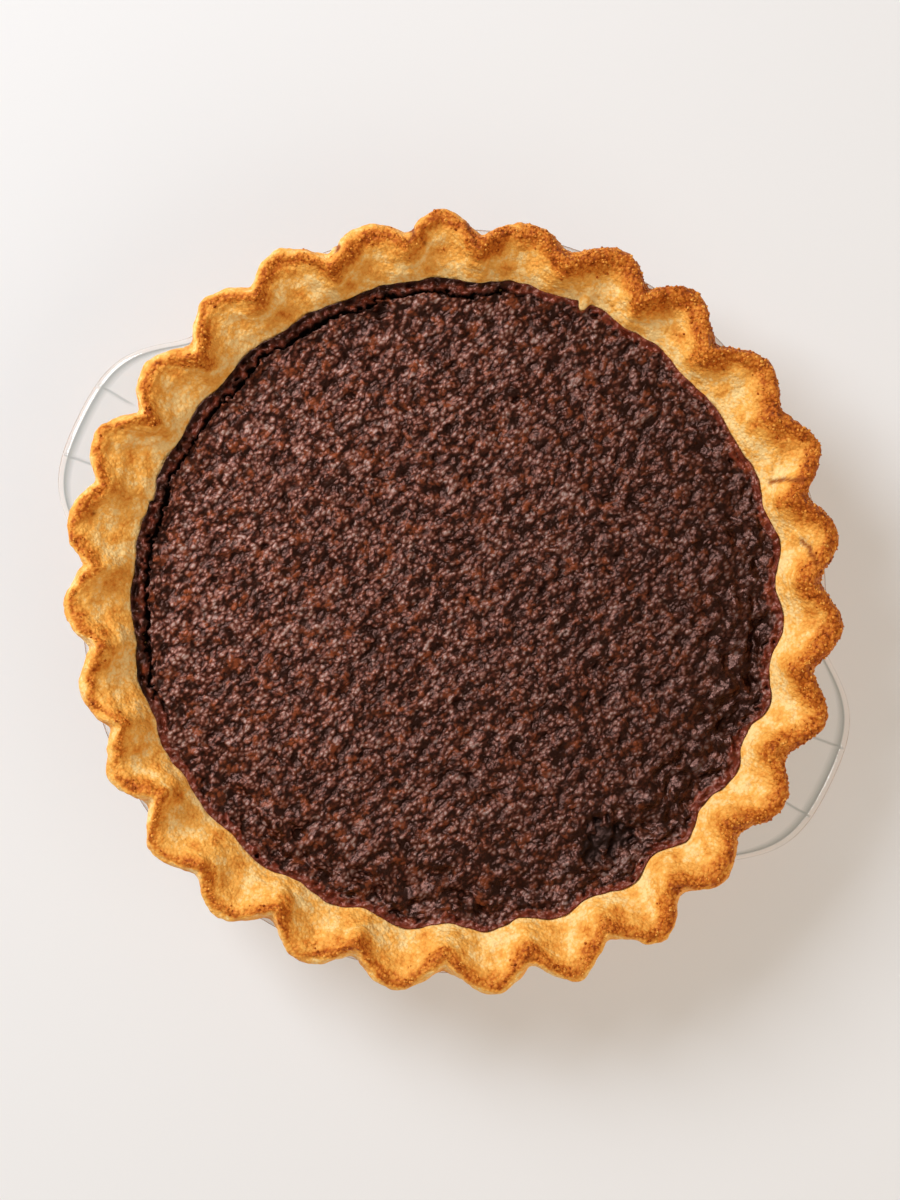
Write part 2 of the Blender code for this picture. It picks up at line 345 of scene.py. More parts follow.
# Soda-lime glass: clear, index 1.52. Its ribs and both borders of its round edge are painted
# grey-green, as painted shade for the dark lines that the bends in the glass show.
# Fire polish leaves it as smooth as water.
clear_glass, melt, glass_shader = new_material(
    "clear_soda_lime_glass", {"Roughness": 0.01, "IOR": 1.52, "Transmission Weight": 1.0}
)
painted_edge_shade = add(melt, "ShaderNodeAttribute", {"attribute_name": "painted_edge_shade"}).outputs["Fac"]
glass_tone = add(
    melt,
    "ShaderNodeMix",
    {"data_type": "RGBA"},
    {0: painted_edge_shade, 6: linear("#fefffe"), 7: linear("#959c98")},
)
melt.links.new(glass_tone.outputs[2], glass_shader.inputs["Base Color"])

profile = dish_profile()
dish_sizes = {**DISH_SIZES, "Profile Points": len(profile)}
turned, given = new_tree("turned_dish_with_grips", "Profile", dish_sizes, "Glass", "Dish")
MATHS = "ShaderNodeMath"

# One row of the grid for each point of the profile, one column for each direction.
sheet = add(
    turned,
    "GeometryNodeMeshGrid",
    None,
    {
        "Size X": 1.0,
        "Size Y": 1.0,
        "Vertices X": given["Steps Around"],
        "Vertices Y": given["Profile Points"],
    },
)
place = add(turned, "GeometryNodeInputPosition").outputs[0]
column = add(turned, "ShaderNodeSeparateXYZ", None, {0: place})
turn = add(
    turned, MATHS, {"operation": "MULTIPLY_ADD"}, {0: column.outputs[0], 1: math.tau, 2: math.pi}
)
twice = add(turned, MATHS, {"operation": "MULTIPLY"}, {0: turn.outputs[0], 1: 2.0})
wave = add(turned, MATHS, {"operation": "SINE"}, {0: twice.outputs[0]})
pull = add(turned, MATHS, {"operation": "MULTIPLY"}, {0: given["Bunching"], 1: -0.5})
direction = add(
    turned,
    MATHS,
    {"operation": "MULTIPLY_ADD"},
    {0: wave.outputs[0], 1: pull.outputs[0], 2: turn.outputs[0]},
)
rows = add(turned, MATHS, {"operation": "SUBTRACT"}, {0: given["Profile Points"], 1: 1.0})
upshift = add(turned, MATHS, {"operation": "ADD"}, {0: column.outputs[1], 1: 0.5})
row = add(turned, MATHS, {"operation": "MULTIPLY"}, {0: upshift.outputs[0], 1: rows.outputs[0]})
row_number = add(turned, MATHS, {"operation": "ROUND"}, {0: row.outputs[0]})
taken = add(
    turned,
    "GeometryNodeSampleIndex",
    {"data_type": "FLOAT_VECTOR", "domain": "POINT"},
    {"Geometry": given["Profile"], "Value": place, "Index": row_number.outputs[0]},
)
section = add(turned, "ShaderNodeSeparateXYZ", None, {0: taken.outputs[0]})

# The grips: the rim's outer part is drawn out by a smooth lobe on each side.
off_grip = add(
    turned, MATHS, {"operation": "PINGPONG"}, {0: direction.outputs[0], 1: math.pi / 2}
)
ratio = add(
    turned,
    MATHS,
    {"operation": "DIVIDE", "use_clamp": True},
    {0: off_grip.outputs[0], 1: given["Handle Half Angle"]},
)
squared = add(turned, MATHS, {"operation": "POWER"}, {0: ratio.outputs[0], 1: 2.0})
lobe = add(
    turned,
    "ShaderNodeMapRange",
    {"interpolation_type": "SMOOTHSTEP"},
    {"Value": squared.outputs[0], "From Min": 0.0, "From Max": 1.0, "To Min": 1.0, "To Max": 0.0},
)
stretch = add(
    turned,
    "ShaderNodeMapRange",
    {"interpolation_type": "LINEAR"},
    {
        "Value": section.outputs[0],
        "From Min": given["Stretch From"],
        "From Max": given["Stretch To"],
    },
)
drawn = add(
    turned, MATHS, {"operation": "MULTIPLY"}, {0: lobe.outputs[0], 1: stretch.outputs[0]}
)
reach = add(
    turned,
    MATHS,
    {"operation": "MULTIPLY_ADD"},
    {0: drawn.outputs[0], 1: given["Handle Reach"], 2: section.outputs[0]},
)

# The ribs: two low ridges on the top of each grip.
off_rib = add(
    turned, MATHS, {"operation": "SUBTRACT"}, {0: off_grip.outputs[0], 1: given["Rib Angle"]}
)
beside_rib = add(turned, MATHS, {"operation": "ABSOLUTE"}, {0: off_rib.outputs[0]})
ridge = add(
    turned,
    "ShaderNodeMapRange",
    {"interpolation_type": "SMOOTHSTEP"},
    {
        "Value": beside_rib.outputs[0],
        "From Min": 0.0,
        "From Max": given["Rib Half Width"],
        "To Min": 1.0,
        "To Max": 0.0,
    },
)
rib_end = add(turned, MATHS, {"operation": "ADD"}, {0: given["Rib Start"], 1: given["Rib Fade"]})
past_rim = add(
    turned,
    "ShaderNodeMapRange",
    {"interpolation_type": "SMOOTHSTEP"},
    {
        "Value": reach.outputs[0],
        "From Min": given["Rib Start"],
        "From Max": rib_end.outputs[0],
    },
)
below_top = add(
    turned, MATHS, {"operation": "SUBTRACT"}, {0: given["Top"], 1: given["Top Depth"]}
)
on_top = add(
    turned,
    "ShaderNodeMapRange",
    {"interpolation_type": "LINEAR"},
    {"Value": section.outputs[2], "From Min": below_top.outputs[0], "From Max": given["Top"]},
)
rib = add(turned, MATHS, {"operation": "MULTIPLY"}, {0: ridge.outputs[0], 1: past_rim.outputs[0]})
rib = add(turned, MATHS, {"operation": "MULTIPLY"}, {0: rib.outputs[0], 1: on_top.outputs[0]})
height = add(
    turned,
    MATHS,
    {"operation": "MULTIPLY_ADD"},
    {0: rib.outputs[0], 1: given["Rib Height"], 2: section.outputs[2]},
)

# Painted shade: the ribs and both borders of the round edge are marked, and the glass is painted
# grey there.
half_line = add(turned, MATHS, {"operation": "MULTIPLY"}, {0: given["Line Width"], 1: 0.5})
inner_border = add(
    turned,
    MATHS,
    {"operation": "COMPARE"},
    {0: section.outputs[0], 1: given["Edge Starts"], 2: half_line.outputs[0]},
)
inner_border = add(
    turned, MATHS, {"operation": "MULTIPLY"}, {0: inner_border.outputs[0], 1: on_top.outputs[0]}
)
outer_border = add(
    turned,
    MATHS,
    {"operation": "COMPARE"},
    {0: section.outputs[0], 1: given["Edge Ends"], 2: half_line.outputs[0]},
)
borders = add(
    turned,
    MATHS,
    {"operation": "MAXIMUM"},
    {0: inner_border.outputs[0], 1: outer_border.outputs[0]},
)
lines = add(turned, MATHS, {"operation": "MAXIMUM"}, {0: borders.outputs[0], 1: rib.outputs[0]})
lined = add(
    turned,
    "GeometryNodeStoreNamedAttribute",
    {"data_type": "FLOAT", "domain": "POINT"},
    {"Geometry": sheet.outputs[0], "Name": "painted_edge_shade", "Value": lines.outputs[0]},
)

cosine = add(turned, MATHS, {"operation": "COSINE"}, {0: direction.outputs[0]})
sine = add(turned, MATHS, {"operation": "SINE"}, {0: direction.outputs[0]})
along_x = add(
    turned, MATHS, {"operation": "MULTIPLY"}, {0: reach.outputs[0], 1: cosine.outputs[0]}
)
along_y = add(turned, MATHS, {"operation": "MULTIPLY"}, {0: reach.outputs[0], 1: sine.outputs[0]})
point = add(
    turned,
    "ShaderNodeCombineXYZ",
    None,
    {0: along_x.outputs[0], 1: along_y.outputs[0], 2: height.outputs[0]},
)
bent = add(
    turned,
    "GeometryNodeSetPosition",
    None,
    {"Geometry": lined.outputs[0], "Position": point.outputs[0]},
)
closed = add(
    turned,
    "GeometryNodeMergeByDistance",
    None,
    {"Geometry": bent.outputs[0], "Distance": given["Weld Distance"]},
)
end_tree(turned, closed.outputs[0], given["Glass"])

profile_mesh = bpy.data.meshes.new("glass_dish")
profile_mesh.from_pydata(
    [(r, 0, z) for r, z in profile], [(k, k + 1) for k in range(len(profile) - 1)], []
)
glass_dish = in_scene("glass_dish", profile_mesh)
run_tree(turned, glass_dish, {**dish_sizes, "Glass": clear_glass})
face_outwards(glass_dish.data)
# Clear glass lets nearly all light through, so it is left out of the shadows.
glass_dish.visible_shadow = False
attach(glass_dish, "root")
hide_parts("dish")


# ---- Pastry crust
# Rolled shortcrust that lines the dish, folded over its rim and pinched by hand into 27 flutes.
# The crests bake to brown crumbly grains, while the scoops between them stay smooth and pale.
INTO_GLASS = 0.00015
PASTRY = 0.0045
FILL_HEIGHT = 0.0375
PLAIN_WALL_HEIGHT = 0.029
# Each flute: its direction in degrees, how far it reaches, and how deep the pinch after it goes.
FOLDS = (
    (1, 0.1324, 0.55),
    (14, 0.1320, 0.75),
    (27, 0.1297, 1.00),
    (40, 0.1275, 1.00),
    (53, 0.1284, 1.00),
    (66, 0.1312, 0.60),
    (79, 0.1315, 1.00),
    (93, 0.1305, 0.90),
    (107, 0.1312, 0.90),
    (122, 0.1319, 0.75),
    (134, 0.1332, 0.80),
    (148, 0.1335, 0.85),
    (160, 0.1298, 0.95),
    (174, 0.1297, 1.00),
    (188, 0.1307, 1.00),
    (202, 0.1297, 1.00),
    (216, 0.1295, 0.95),
    (229, 0.1333, 0.55),
    (243, 0.1318, 1.00),
    (258, 0.1310, 0.95),
    (270, 0.1294, 1.00),
    (285, 0.1276, 1.00),
    (298, 0.1305, 0.80),
    (309, 0.1278, 0.95),
    (323, 0.1308, 0.70),
    (335, 0.1304, 1.00),
    (349, 0.1290, 0.95),
)
STEPS_PER_FOLD = 40
# A pinch is a soft ridge on the inside of the edge and a narrower hollow on its outside, which
# was pinched wider on one side of the pie than on the other.
SOFT_PINCH = 2.0
SHARP_PINCH = 1.08
SHARP_DRIFT = 0.26
SHARP_LEVEL = 5
PINCH_EASE = 0.012
NOMINAL_REACH = 0.1305
# Sections of the edge as (radius, height), from the fill line over the crest and down to the rim.
PINCH_SECTION = (
    (0.1076, FILL_HEIGHT),
    (0.1098, 0.0416),
    (0.1120, 0.0462),
    (0.1144, 0.0502),
    (0.1170, 0.0522),
    (0.1195, 0.0508),
    (0.1215, 0.0472),
    (0.1228, 0.0430),
    (0.1226, RIM_HEIGHT - INTO_GLASS),
)
FOLD_SECTION = (
    (0.1088, FILL_HEIGHT),
    (0.1128, 0.0408),
    (0.1180, 0.0438),
    (0.1226, 0.0468),
    (0.1264, 0.0488),
    (0.1294, 0.0478),
    (NOMINAL_REACH, 0.0452),
    (0.1286, 0.0424),
    (0.1240, RIM_HEIGHT - INTO_GLASS),
)
# The fill line strays from a true circle. On the side that set last it runs out into the folds.
STRAY = 0.0014
STRAY_WAVES = 4.5
STRAY_LEVELS = 2
LATE_SIDE = math.radians(154)
LATE_DRIFT = 0.0010
LATE_BULGE = 0.0028
RAGGED_LINE = 0.0005
RAGGED_WAVES = 24
# The edge's levels run from 0 at the fill line over the crest to 8 at the rim.
CREST = 4
LAST_LEVEL = 8
STEPS_PER_LEVEL = 7
UNDER_FILLING = -1.0
AGAINST_GLASS = 9.0
HALF_WALL_HEIGHT = 0.020
# The oven's marks: patches, smaller blots and flecks, and the patches that show through the glass.
PATCH_SIZE = 0.0095
BLOT_SIZE = 0.0048
FLECK_SIZE = 0.0020
GLASS_SIDE_PATCH = 0.011
# The relief: crags and crumbs on the crests, and low waves, flecks and bands everywhere.
CRAG = 0.0011
CRAG_GRAIN = 0.0075
CREST_WEAR = 0.00025
CRUMB_GRAIN = 0.0024
CRUMB_RELIEF = 0.00062
WAVE_SIZE = 0.0046
WAVE_RELIEF = 0.00060
FLECK_RELIEF = 0.00030
BAND_RELIEF = 0.00050
# Splits in the pastry: from (direction in degrees, radius) to the same, as the dough tore there.
SPLITS = (
    ((226.7, 0.1130), (225.0, 0.1245)),
    ((215.7, 0.1180), (212.0, 0.1212)),
    ((303.0, 0.1190), (302.4, 0.1262)),
    ((292.8, 0.1185), (293.5, 0.1255)),
    ((314.6, 0.1225), (314.0, 0.1268)),
)
SPLIT_HALF_WIDTH = 0.0012
SPLIT_DEPTH = 0.0005
SPLIT_STRAY = 0.0013
SPLIT_STRAY_SIZE = 0.0030
# A scrap of dough hangs into the filling: (direction, how far it hangs in, half width).
SCRAP = (math.radians(272.4), 0.0032, math.radians(1.15))
# Where the rolled sheet's end overlaps, the fill line has a step: (direction, step, run-out).
OVERLAP = (math.radians(7.7), 0.0011, math.radians(5))
# Tiny burnt specks: (direction in degrees, radius).
SPECKS = ((359.2, 0.1282), (358.7, 0.1237), (12.4, 0.1231), (300.6, 0.1192))
# The side of the pie that stood hottest in the oven browned most. It lies mostly away from the
# window, so its darker crests are partly painted shade. On the far side the outer flanks are
# painted paler where the light falls, and the walls more golden as painted shade.
HOT_AND_SHADED_SIDE = math.radians(226)
# The wander of all the noise starts from one seed, so that each run bakes the same pie.
NOISE_SEED = 7
noise.seed_set(NOISE_SEED)


def smooth(share):
    """An S-shaped rise from 0 to 1, level before and after."""
    share = min(max(share, 0.0), 1.0)
    return share * share * (3 - 2 * share)


def fold_at(direction, level):
    """(how much of the full fold there is, how far it reaches) in a direction, at a level."""
    degrees = math.degrees(direction) % 360
    k = max((k for k in range(len(FOLDS)) if FOLDS[k][0] <= degrees + 1e-6), default=-1)
    start, fold_reach, pinch = FOLDS[k]
    next_start, next_reach, _ = FOLDS[(k + 1) % len(FOLDS)]
    share = ((degrees - start + 1e-6) % 360) / ((next_start - start) % 360)
    sharpest = SHARP_PINCH + SHARP_DRIFT * math.cos(direction - LATE_SIDE)
    sharpness = SOFT_PINCH + (sharpest - SOFT_PINCH) * smooth(level / SHARP_LEVEL)
    lowest = PINCH_EASE ** (sharpness / 2)
    openness = (math.cos(math.pi * share) ** 2 + PINCH_EASE) ** (sharpness / 2) - lowest
    openness /= (1 + PINCH_EASE) ** (sharpness / 2) - lowest
    eased = fold_reach + (next_reach - fold_reach) * smooth(share)
    return 1 - pinch * (1 - openness), eased


def fill_line_shift(direction, fold):
    """How far the fill line lies outside its plain place."""
    around = Vector((math.cos(direction), math.sin(direction), 0))
    late = math.cos(direction - LATE_SIDE)
    bulge = LATE_BULGE * max(0, late) * (fold - 0.4)
    off_scrap = (direction - SCRAP[0] + math.pi) % math.tau - math.pi
    scrap = SCRAP[1] * smooth(1.5 - 1.5 * abs(off_scrap) / SCRAP[2])
    past_overlap = (direction - OVERLAP[0] + math.pi) % math.tau - math.pi
    overlap = 0 if past_overlap > 0 else OVERLAP[1] * smooth(1 + past_overlap / OVERLAP[2])
    ragged = STRAY * noise.noise(around * STRAY_WAVES)
    ragged += RAGGED_LINE * noise.noise(around * RAGGED_WAVES)
    return ragged + LATE_DRIFT * late + bulge - scrap - overlap


def on_section(section, level):
    """A point of a section between its named points, on one smooth curve through them all."""
    last = len(section) - 1
    k = min(int(level), last - 1)
    t = level - k
    before, here, there, after = (section[min(max(k + d, 0), last)] for d in (-1, 0, 1, 2))
    along = []
    for a, b, c, d in zip(before, here, there, after):
        bend, twist = 2 * a - 5 * b + 4 * c - d, 3 * b - a - 3 * c + d
        along.append(0.5 * (2 * b + (c - a) * t + bend * t * t + twist * t**3))
    return along


def edge_point(direction, level):
    """Radius and height of the crimped edge's section in a direction, at a level."""
    fold, fold_reach = fold_at(direction, level)
    pinch_at, fold_at_level = on_section(PINCH_SECTION, level), on_section(FOLD_SECTION, level)
    out = fold_at_level[0] + (fold_reach - NOMINAL_REACH) * math.sin(math.pi * level / LAST_LEVEL)
    shift = fill_line_shift(direction, fold) * smooth(1 - level / STRAY_LEVELS)
    return (
        pinch_at[0] + (out - pinch_at[0]) * fold + shift,
        pinch_at[1] + (fold_at_level[1] - pinch_at[1]) * fold,
    )


def on_plan(degrees, radius):
    """A point of the plan, seen from above, by its direction and its distance from the middle."""
    return Vector((math.cos(math.radians(degrees)), math.sin(math.radians(degrees)))) * radius


def from_split(place):
    """Distance on the plan from the nearest split or speck in the pastry, with ragged edges."""
    ragged = place + noise.noise_vector(place / SPLIT_STRAY_SIZE) * SPLIT_STRAY
    nearest = min((place.xy - on_plan(*speck)).length for speck in SPECKS) + 0.0002
    for start, end in SPLITS:
        a, line = on_plan(*start), on_plan(*end) - on_plan(*start)
        share = min(max((ragged.xy - a).dot(line) / line.length_squared, 0), 1)
        nearest = min(nearest, (ragged.xy - a - line * share).length)
    return nearest


fold_turns = []
for k, (start, _, _) in enumerate(FOLDS):
    span = (FOLDS[(k + 1) % len(FOLDS)][0] - start) % 360
    fold_turns += [math.radians(start + span * s / STEPS_PER_FOLD) for s in range(STEPS_PER_FOLD)]

# The rings of the pastry: up the inside, over the crimped edge, and down against the glass.
inner_rings = bowl_profile(PASTRY, 5)[:5]
foot_in = nested((FOOT_RADIUS, GLASS), PASTRY)
for wall_height in (HALF_WALL_HEIGHT, PLAIN_WALL_HEIGHT):
    wall_at = foot_in[0] + (wall_height - foot_in[1]) / math.tan(WALL_SLOPE)
    inner_rings.append((wall_at, wall_height))
levels = [k / STEPS_PER_LEVEL for k in range(LAST_LEVEL * STEPS_PER_LEVEL + 1)]
outer_rings = bowl_profile(-INTO_GLASS, 7)[::-1]
edge_from = len(inner_rings)
edge_to = edge_from + len(levels)

grid = np.zeros((edge_to + len(outer_rings), len(fold_turns), 3))
level_of = np.full(grid.shape[0], UNDER_FILLING)
level_of[edge_from:edge_to] = levels
level_of[edge_to:] = AGAINST_GLASS
for j, turn_angle in enumerate(fold_turns):
    c, s = math.cos(turn_angle), math.sin(turn_angle)
    edge_rings = [edge_point(turn_angle, level) for level in levels]
    for i, (r, z) in enumerate(inner_rings + edge_rings + outer_rings):
        grid[i, j] = (r * c, r * s, z)


def outward(points):
    """Outward normals of a grid of points that closes on itself sideways."""
    along = np.gradient(points, axis=0)
    round_it = np.roll(points, -1, axis=1) - np.roll(points, 1, axis=1)
    facing = np.cross(along, round_it)
    return facing / np.maximum(np.linalg.norm(facing, axis=2, keepdims=True), 1e-12)


def knobbly(place):
    """Height from 0 to 1 of round grains, about one to each unit of length."""
    return max(0.0, 1 - (noise.voronoi(place)[0][0] * 1.35) ** 2)


facing = outward(grid)
browned, torn, lift = (np.zeros(grid.shape[:2]) for _ in range(3))
for i, level in enumerate(level_of):
    for j, turn_angle in enumerate(fold_turns):
        spot = Vector(grid[i, j])
        if level == UNDER_FILLING:
            continue
        if level == AGAINST_GLASS:
            browned[i, j] = 0.27 + 0.22 * noise.noise(spot / GLASS_SIDE_PATCH)
            continue
        rough = max(0.0, 1 - abs(level - CREST) / 3.5)
        spot = spot + noise.noise_vector(spot / CRAG_GRAIN) * CRAG * rough
        grid[i, j] = spot
        fold = fold_at(turn_angle, CREST)[0]
        heat_and_shade = 0.5 + 0.5 * math.cos(turn_angle - HOT_AND_SHADED_SIDE)
        patch = noise.noise(spot / PATCH_SIZE)
        blot = noise.noise(spot / BLOT_SIZE + Vector((7, 3, 1)))
        fine = noise.noise(spot / FLECK_SIZE + Vector((1, 9, 4)))
        start_level = 2.7 - 0.9 * heat_and_shade - 0.9 * (1 - fold) + 1.0 * patch + 0.8 * blot + 0.3 * fine
        # The outer flank stays pale, and is painted paler on the lit side, but on the hot side it
        # has browned as well.
        cool_and_lit = smooth(1.9 - 2.0 * heat_and_shade)
        brown = smooth((level - start_level - 0.1 * cool_and_lit) / (2.1 - 0.6 * cool_and_lit))
        brown *= 0.62 - 0.05 * cool_and_lit
        fade_from = 5.0 - 0.7 * cool_and_lit + 0.5 * blot
        brown *= 1 - smooth((level - fade_from) / (1.7 - 0.9 * cool_and_lit)) * (0.12 + 0.68 * cool_and_lit)
        # Partly painted shade: the walls on the side away from the heat face away from the window
        # and are made more golden.
        gilding = 0.06 + 0.08 * (1 - heat_and_shade) + 0.24 * patch + 0.14 * blot
        brown = max(brown, gilding * min(level / 0.8, 1))
        # The marks and the relief fade out towards the fill line.
        clear = min(level, 1)
        browned[i, j] = min(max(brown + (0.14 * blot + 0.12 * fine) * clear, 0), 1)
        lump = knobbly(spot / CRUMB_GRAIN) + 0.45 * knobbly(spot / CRUMB_GRAIN * 1.9)
        crumbly = smooth((brown - 0.16) / 0.3) * (0.75 + 0.6 * noise.noise(spot / 0.007))
        crumbly *= 0.6 + 0.4 * heat_and_shade
        lift[i, j] = CRUMB_RELIEF * (lump - 1.1) * crumbly
        wave = noise.noise(spot / WAVE_SIZE)
        lift[i, j] += (WAVE_RELIEF * wave + FLECK_RELIEF * fine) * clear
        band = Vector((turn_angle * 16, level * 2.2, 5)) + noise.noise_vector(spot / 0.008)
        lift[i, j] += BAND_RELIEF * noise.noise(band) * (1 - brown) * clear
        lift[i, j] -= CREST_WEAR * rough
        if 0.6 < level < 7.5:
            torn[i, j] = smooth(1.1 - from_split(spot) / SPLIT_HALF_WIDTH)
        lift[i, j] -= SPLIT_DEPTH * torn[i, j]
grid += facing * lift[..., None]
# The wildest crags are rubbed off at the pie's measured width and height.
grid[..., 1] = np.clip(grid[..., 1], cad_box[0][1], cad_box[1][1])
grid[..., 2] = np.minimum(grid[..., 2], cad_box[1][2])


def store_marks(mesh, marks):
    """Keep named values of a mesh's points, from the first point on. The rest are 0."""
    for mark, values in marks.items():
        layer = mesh.attributes.new(mark, "FLOAT", "POINT")
        unmarked = len(mesh.vertices) - len(values)
        layer.data.foreach_set("value", [*values, *[0.0] * unmarked])


def ring_skin(name, points, ends, marks):
    """A closed mesh through a grid of rings, with a single point at each end, and its marks."""
    rings_count, round_count = points.shape[:2]
    verts = [ends[0]] + [tuple(p) for p in points.reshape(-1, 3)] + [ends[1]]
    last = len(verts) - 1
    faces = []
    for j in range(round_count):
        after = (j + 1) % round_count
        faces.append((0, 1 + after, 1 + j))
        for i in range(rings_count - 1):
            a, b = 1 + i * round_count, 1 + (i + 1) * round_count
            faces.append((a + j, a + after, b + after, b + j))
        end = 1 + (rings_count - 1) * round_count
        faces.append((last, end + j, end + after))
    mesh = bpy.data.meshes.new(name)
    mesh.from_pydata(verts, [], faces)
    store_marks(mesh, {mark: [0.0, *values.reshape(-1)] for mark, values in marks.items()})
    face_outwards(mesh)
    return in_scene(name, mesh)


crust_ends = ((0, 0, nested((0, GLASS), PASTRY)[1]), (0, 0, nested((0, GLASS), -INTO_GLASS)[1]))
pie_crust = ring_skin("pie_crust", grid, crust_ends, {"browned": browned, "torn": torn})

# Baked shortcrust: matt, with a trace of butter gloss in the scoops. Flour, butter and sugar give
# pale gold that browns through orange to dark brown, in grains of about a millimetre.
baked_pastry, dough, dough_shader = new_material(
    "baked_shortcrust", {"Specular IOR Level": 0.18, "Specular Tint": linear("#fff0d8")}
)
spots =add(dough, "ShaderNodeTexCoord").outputs["Object"]
brown_mark = add(dough, "ShaderNodeAttribute", {"attribute_name": "browned"}).outputs["Fac"]
torn_mark = add(dough, "ShaderNodeAttribute", {"attribute_name": "torn"}).outputs["Fac"]
# Blotches of about 5 mm, flecks of 1.2 mm and grains of 1.2 mm, with painted shade in the gap
# between them.
blotches = add(
    dough,
    "ShaderNodeTexNoise",
    None,
    {"Vector": spots, "Scale": 190.0, "Detail": 5.0, "Roughness": 0.65},
)
flecks = add(
    dough,
    "ShaderNodeTexNoise",
    None,
    {"Vector": spots, "Scale": 800.0, "Detail": 3.0, "Roughness": 0.65},
)
grains = add(
    dough,
    "ShaderNodeTexVoronoi",
    {"feature": "SMOOTH_F1"},
    {"Vector": spots, "Scale": 820.0, "Smoothness": 0.3},
)
blotch = add(dough, MATHS, {"operation": "SUBTRACT"}, {0: blotches.outputs[0], 1: 0.5})
fleck = add(dough, MATHS, {"operation": "SUBTRACT"}, {0: flecks.outputs[0], 1: 0.5})
grain_depth = add(
    dough,
    "ShaderNodeMapRange",
    None,
    {"Value": brown_mark, "From Min": 0.15, "From Max": 0.55, "To Min": 0.55, "To Max": 1.0},
)
baked = add(
    dough, MATHS, {"operation": "MULTIPLY_ADD"}, {0: blotch.outputs[0], 1: 0.55, 2: brown_mark}
)
speckle = add(dough, MATHS, {"operation": "MULTIPLY"}, {0: fleck.outputs[0], 1: 0.72})
baked = add(
    dough,
    MATHS,
    {"operation": "MULTIPLY_ADD"},
    {0: speckle.outputs[0], 1: grain_depth.outputs[0], 2: baked.outputs[0]},
)
grain_gap_shade = add(
    dough,
    "ShaderNodeMapRange",
    None,
    {"Value": grains.outputs[0], "From Min": 0.40, "From Max": 0.75, "To Max": 0.22},
)
baked = add(
    dough,
    MATHS,
    {"operation": "MULTIPLY_ADD"},
    {0: grain_gap_shade.outputs[0], 1: grain_depth.outputs[0], 2: baked.outputs[0]},
)
baked_tones = add(dough, "ShaderNodeValToRGB", None, {0: baked.outputs[0]})
set_ramp(
    baked_tones.color_ramp,
    [
        (0.00, linear("#f9d18a")),
        (0.18, linear("#f4b052")),
        (0.40, linear("#e4943a")),
        (0.60, linear("#cd7424")),
        (0.80, linear("#a94f10")),
        (1.00, linear("#723005")),
    ],
)
rent = add(
    dough,
    "ShaderNodeMix",
    {"data_type": "RGBA"},
    {0: torn_mark, 6: baked_tones.outputs[0], 7: linear("#8c3f0c")},
)
dough.links.new(rent.outputs[2], dough_shader.inputs["Base Color"])
roughness = add(
    dough,
    "ShaderNodeMapRange",
    None,
    {"Value": baked.outputs[0], "From Min": 0.0, "From Max": 0.8, "To Min": 0.48, "To Max": 0.56},
)
dough.links.new(roughness.outputs[0], dough_shader.inputs["Roughness"])
grain_top = add(dough, MATHS, {"operation": "SUBTRACT"}, {0: 1.0, 1: grains.outputs[0]})
grain_relief = add(
    dough, MATHS, {"operation": "MULTIPLY"}, {0: grain_top.outputs[0], 1: grain_depth.outputs[0]}
)
grain_bump = add(
    dough,
    "ShaderNodeBump",
    None,
    {"Strength": 0.8, "Distance": 0.0007, "Height": grain_relief.outputs[0]},
)
skin_bump = add(
    dough,
    "ShaderNodeBump",
    None,
    {
        "Strength": 0.7,
        "Distance": 0.0008,
        "Height": flecks.outputs[0],
        "Normal": grain_bump.outputs[0],
    },
)
dough.links.new(skin_bump.outputs[0], dough_shader.inputs["Normal"])
pie_crust.data.materials.append(baked_pastry)
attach(pie_crust, "root")
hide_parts("crust")


# ---- Chocolate filling
# A chocolate custard of eggs, sugar and cocoa, poured in and baked until its top sets to a thin
# pebbled skin. It clings to the pastry in a narrow ledge and sinks inside it as it cools.
INTO_PASTRY = 0.0004
TOP_RISE = 0.0004
LEDGE_DROP = 0.0007
TOP_SINK = 0.0019
SINK_WIDTH = 0.007
CRACK_FROM = math.radians(278)
CRACK_TO = math.radians(52)
CRACK_FADE = math.radians(12)
CRACK_DEPTH = 0.0030
CRACK_HALF_WIDTH = 0.0007
# The crack and the ledge's edge wander, with chips: how far, and over what length.
WANDER_REACH, WANDER_SIZE = 0.0030, 0.0075
TOOTH_REACH, TOOTH_SIZE = 0.0024, 0.0027
CHIP_REACH, CHIP_SIZE = 0.0006, 0.0013
WANDER_MEAN = 0.0013
# The relief of the skin: a slow swell, lumps, and wrinkles that run along the edge.
SWELL = 0.0008
SWELL_SPACING = 0.024
LUMP_RELIEF, LUMP_SIZE = 0.00170, 0.0056
WRINKLE_RELIEF, WRINKLE_SIZE, WRINKLES_AROUND = 0.0032, 0.0046, 10.0
# Rows, pebbles and grit lie along one slanting grain: how high, how long and how wide.
GRAIN_TURN = math.radians(45) + VIEW_TURN
ROW_RELIEF, ROW_LONG, ROW_WIDE = 0.00145, 0.0060, 0.0034
PEBBLE_RELIEF, PEBBLE_LONG, PEBBLE_WIDE = 0.00095, 0.0027, 0.0020
GRIT_RELIEF, GRIT_LONG, GRIT_WIDE = 0.00060, 0.0015, 0.0012
# Where the top dried last: (strength, direction in the view, spread), both in degrees.
DRIED_LAST = ((1.0, 335, 85), (0.9, 250, 70))
LEAST_DRIED = 0.30
# Painted light: the top is painted paler towards this side, where the window's light falls, and
# darker away from it.
PAINTED_LIT_SIDE = math.radians(11)
# The rings of points are closest near the edge.
RINGS = 172
FINE_RINGS = 30
FINE_STEP = 0.00036
NOMINAL_FILL = 0.1085


def fill_edge(direction):
    """Radius at which the filling meets the pastry, a little way into it."""
    return edge_point(direction, 0)[0] + INTO_PASTRY


